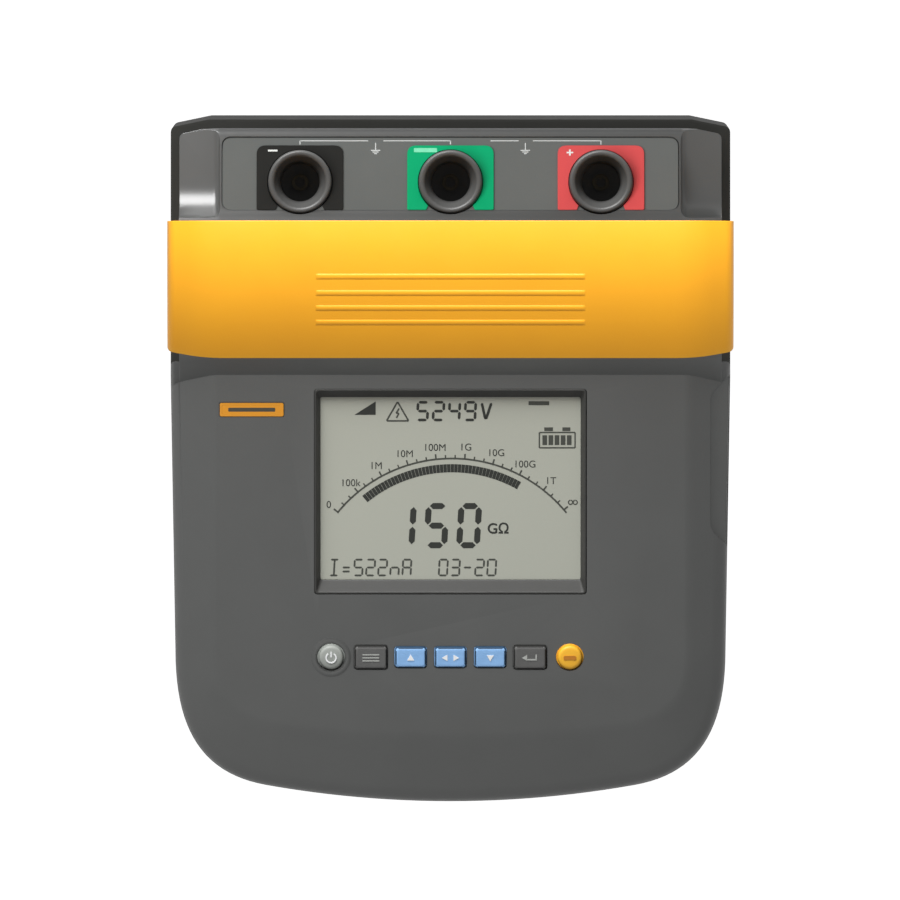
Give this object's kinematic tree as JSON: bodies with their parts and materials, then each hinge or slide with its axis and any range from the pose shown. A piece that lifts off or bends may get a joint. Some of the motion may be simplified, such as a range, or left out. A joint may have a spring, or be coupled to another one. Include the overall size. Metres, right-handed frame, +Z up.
{
  "type": "insulation resistance tester",
  "caption": "Bench insulation tester: dark grey wedge case with a display, button row, shrouded test jacks and a swinging amber carry handle.",
  "frame": {"origin": "on the bench, under the middle of the case's plan", "axes": "+X to the user's right, +Y from the nose towards the test terminals, +Z up out of the bench"},
  "size_m": [0.24, 0.293, 0.1691],
  "materials": {
    "case_grey": "fine moulded texture, satin",
    "case_dark": "fine moulded texture, matte",
    "panel_grey": "smooth satin",
    "plate_black": "smooth satin",
    "plate_green": "smooth satin",
    "plate_red": "smooth satin",
    "jack_grey": "smooth satin",
    "contact_metal": "darkened",
    "bezel_black": "satin",
    "display_film": "clear, slightly hazy",
    "module_grey": "satin",
    "nameplate_amber": "satin",
    "silicone": "matte",
    "board_green": "solder mask",
    "board_blue": "solder mask",
    "steel": "zinc plated",
    "capacitor_blue": "sleeve",
    "battery_black": "matte",
    "black_plastic": "satin",
    "infrared_film": "dark red, glossy",
    "rubber": "matte",
    "handle_yellow": "fine moulded texture, satin",
    "shutter_red": "satin",
    "button_light": "satin",
    "button_grey": "matte",
    "button_blue": "matte",
    "button_amber": "matte"
  },
  "bodies": {
    "case": {"battery_bracket": "steel", "battery_pack": "battery_black", "bottom_shell": "case_dark", "buzzer": "black_plastic", "capacitor_1": "capacitor_blue", "capacitor_2": "capacitor_blue", "case_screw_front_left": "steel", "case_screw_front_right": "steel", "case_screw_middle_left": "steel", "case_screw_middle_right": "steel", "case_screw_rear_left": "steel", "case_screw_rear_right": "steel", "charger_module": "steel", "display_bezel": "bezel_black", "display_window": "display_film", "foot_front_left": "rubber", "foot_front_right": "rubber", "foot_rear_left": "rubber", "foot_rear_right": "rubber", "high_voltage_board": "board_blue", "infrared_window": "infrared_film", "jack_contact_black": "contact_metal", "jack_contact_green": "contact_metal", "jack_contact_red": "contact_metal", "jack_sleeve_black": "jack_grey", "jack_sleeve_green": "jack_grey", "jack_sleeve_red": "jack_grey", "keypad_board": "board_green", "keypad_mat": "silicone", "lcd_module": "module_grey", "main_board": "board_green", "mains_inlet": "black_plastic", "nameplate": "nameplate_amber", "pivot_nut_left": "steel", "pivot_nut_right": "steel", "pivot_pin_left": "steel", "pivot_pin_right": "steel", "shutter_rail": "black_plastic", "terminal_block": "panel_grey", "terminal_plate_black": "plate_black", "terminal_plate_green": "plate_green", "terminal_plate_red": "plate_red", "top_shell": "case_grey", "transformer_core": "steel"},
    "handle": {"handle_shell": "handle_yellow", "handle_grip_liner": "rubber"},
    "shutter": {"inlet_shutter": "shutter_red"},
    "power_button": {"power_button": "button_light"},
    "function_button": {"function_button": "button_grey"},
    "up_button": {"up_button": "button_blue"},
    "left_right_button": {"left_right_button": "button_blue"},
    "down_button": {"down_button": "button_blue"},
    "enter_button": {"enter_button": "button_grey"},
    "test_button": {"test_button": "button_amber"}
  },
  "joints": [
    {"name": "handle_hinge", "type": "hinge", "parent": "case", "child": "handle", "pos_m": [0, 0.088, 0.073], "axis": [-1, 0, 0], "range_deg": [0, 95]},
    {"name": "shutter_slide", "type": "slide", "parent": "case", "child": "shutter", "axis": [0, 1, 0], "range_m": [0, 0.0265]},
    {"name": "power_press", "type": "slide", "parent": "case", "child": "power_button", "axis": [0, 0.1599, -0.9871], "range_m": [0, 0.0012], "stiffness_N_per_m": 900},
    {"name": "function_press", "type": "slide", "parent": "case", "child": "function_button", "axis": [0, 0.1599, -0.9871], "range_m": [0, 0.0012], "stiffness_N_per_m": 900},
    {"name": "up_press", "type": "slide", "parent": "case", "child": "up_button", "axis": [0, 0.1599, -0.9871], "range_m": [0, 0.0012], "stiffness_N_per_m": 900},
    {"name": "left_right_press", "type": "slide", "parent": "case", "child": "left_right_button", "axis": [0, 0.1599, -0.9871], "range_m": [0, 0.0012], "stiffness_N_per_m": 900},
    {"name": "down_press", "type": "slide", "parent": "case", "child": "down_button", "axis": [0, 0.1599, -0.9871], "range_m": [0, 0.0012], "stiffness_N_per_m": 900},
    {"name": "enter_press", "type": "slide", "parent": "case", "child": "enter_button", "axis": [0, 0.1599, -0.9871], "range_m": [0, 0.0012], "stiffness_N_per_m": 900},
    {"name": "test_press", "type": "slide", "parent": "case", "child": "test_button", "axis": [0, 0.1599, -0.9871], "range_m": [0, 0.0012], "stiffness_N_per_m": 900}
  ]
}
